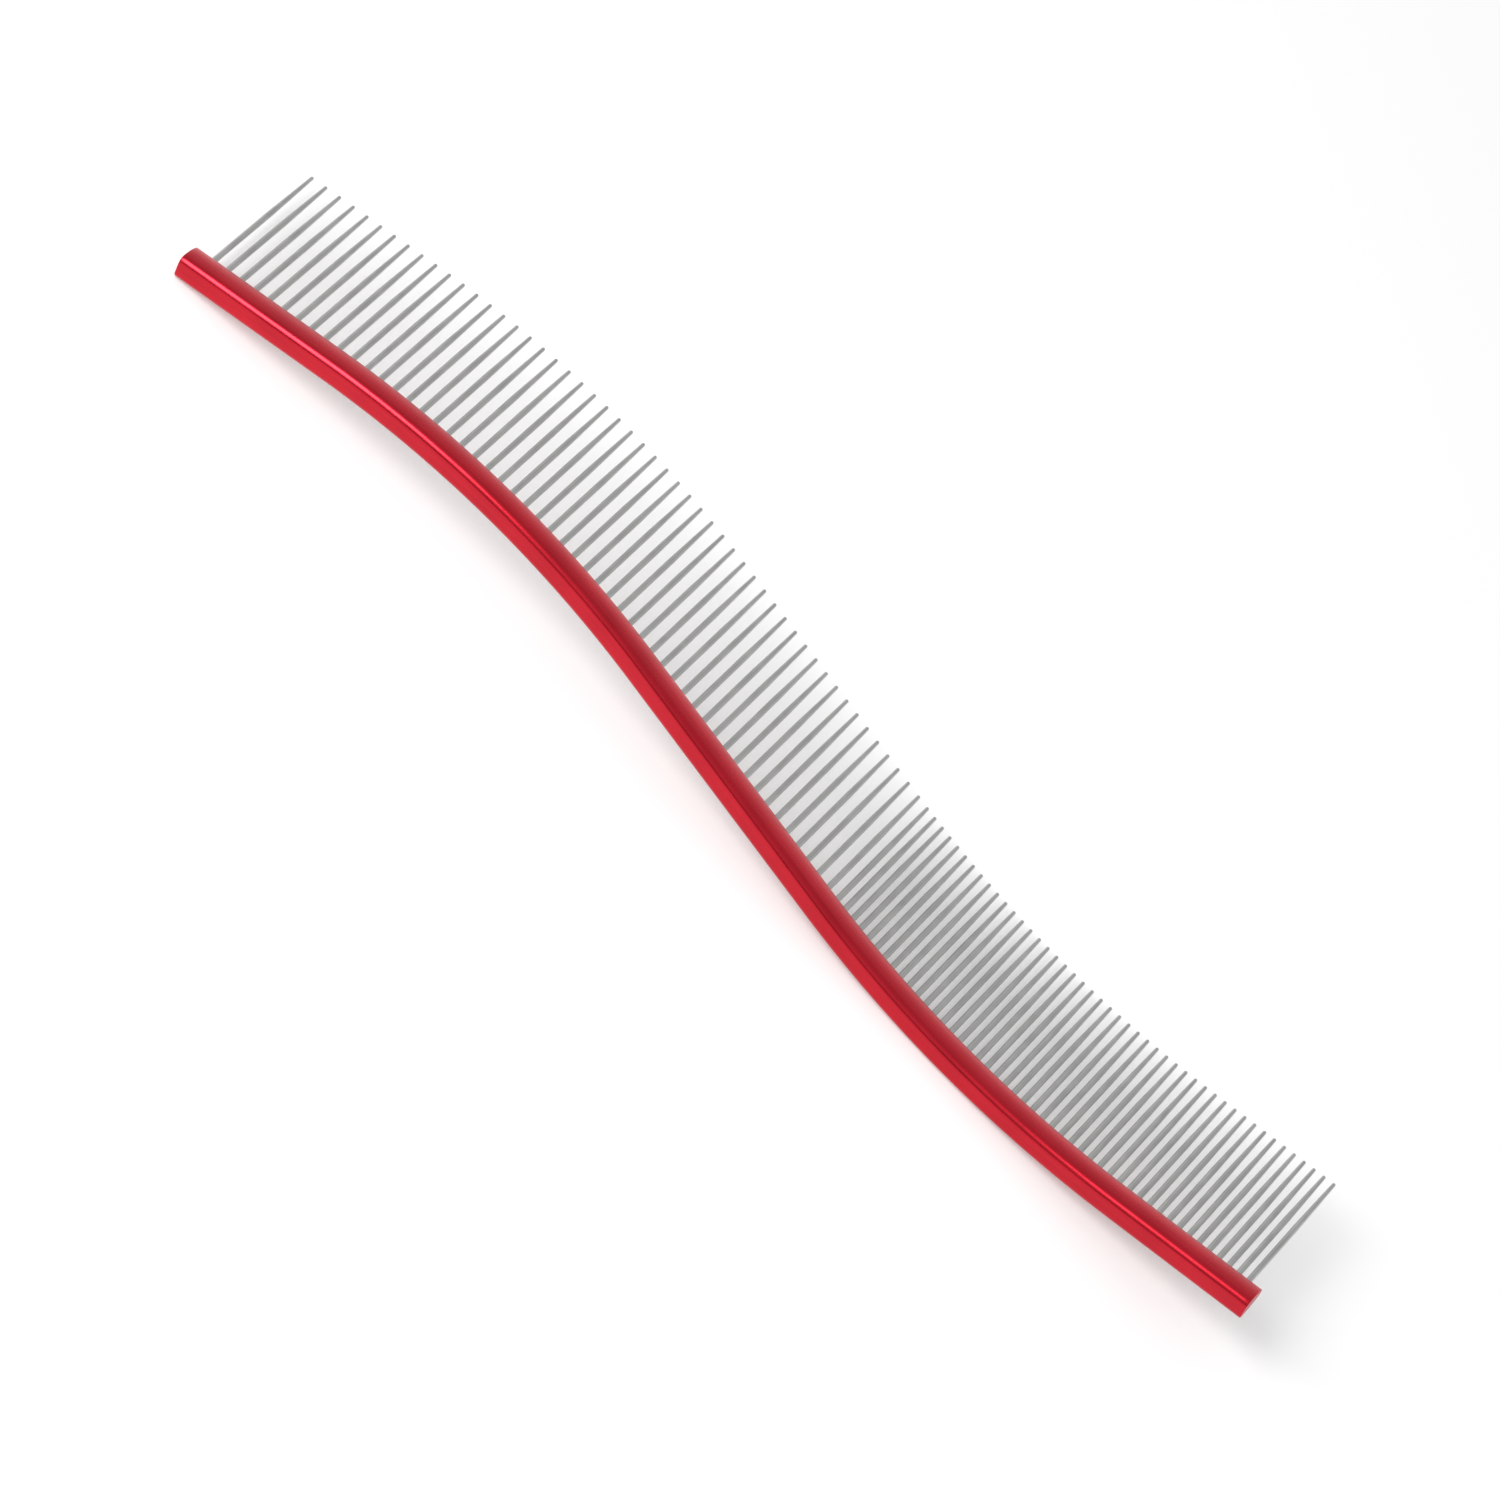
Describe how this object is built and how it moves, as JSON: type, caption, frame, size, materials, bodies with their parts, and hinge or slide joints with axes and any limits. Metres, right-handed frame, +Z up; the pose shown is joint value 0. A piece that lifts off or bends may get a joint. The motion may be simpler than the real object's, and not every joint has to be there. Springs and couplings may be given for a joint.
{
  "type": "grooming comb",
  "caption": "Pet grooming comb with a wavy anodised spine and straight round steel pins in a coarse and a fine field, lying on its side.",
  "frame": {"origin": "on the table, under the middle of the box around the whole comb", "axes": "+X along the comb from the coarse end to the fine end, +Y the way the pins point, +Z up from the table, across the wave of the spine"},
  "size_m": [0.2476, 0.0372, 0.0182],
  "materials": {
    "spine": "red anodised, satin",
    "pins": "satin stainless"
  },
  "bodies": {
    "root": {"spine": "spine", "coarse_pins_01": "pins", "coarse_pins_02": "pins", "coarse_pins_03": "pins", "coarse_pins_04": "pins", "coarse_pins_05": "pins", "coarse_pins_06": "pins", "coarse_pins_07": "pins", "coarse_pins_08": "pins", "coarse_pins_09": "pins", "coarse_pins_10": "pins", "coarse_pins_11": "pins", "coarse_pins_12": "pins", "coarse_pins_13": "pins", "coarse_pins_14": "pins", "coarse_pins_15": "pins", "coarse_pins_16": "pins", "coarse_pins_17": "pins", "coarse_pins_18": "pins", "coarse_pins_19": "pins", "coarse_pins_20": "pins", "coarse_pins_21": "pins", "coarse_pins_22": "pins", "coarse_pins_23": "pins", "coarse_pins_24": "pins", "coarse_pins_25": "pins", "coarse_pins_26": "pins", "fine_pins_01": "pins", "fine_pins_02": "pins", "fine_pins_03": "pins", "fine_pins_04": "pins", "fine_pins_05": "pins", "fine_pins_06": "pins", "fine_pins_07": "pins", "fine_pins_08": "pins", "fine_pins_09": "pins", "fine_pins_10": "pins", "fine_pins_11": "pins", "fine_pins_12": "pins", "fine_pins_13": "pins", "fine_pins_14": "pins", "fine_pins_15": "pins", "fine_pins_16": "pins", "fine_pins_17": "pins", "fine_pins_18": "pins", "fine_pins_19": "pins", "fine_pins_20": "pins", "fine_pins_21": "pins", "fine_pins_22": "pins", "fine_pins_23": "pins"}
  },
  "joints": []
}
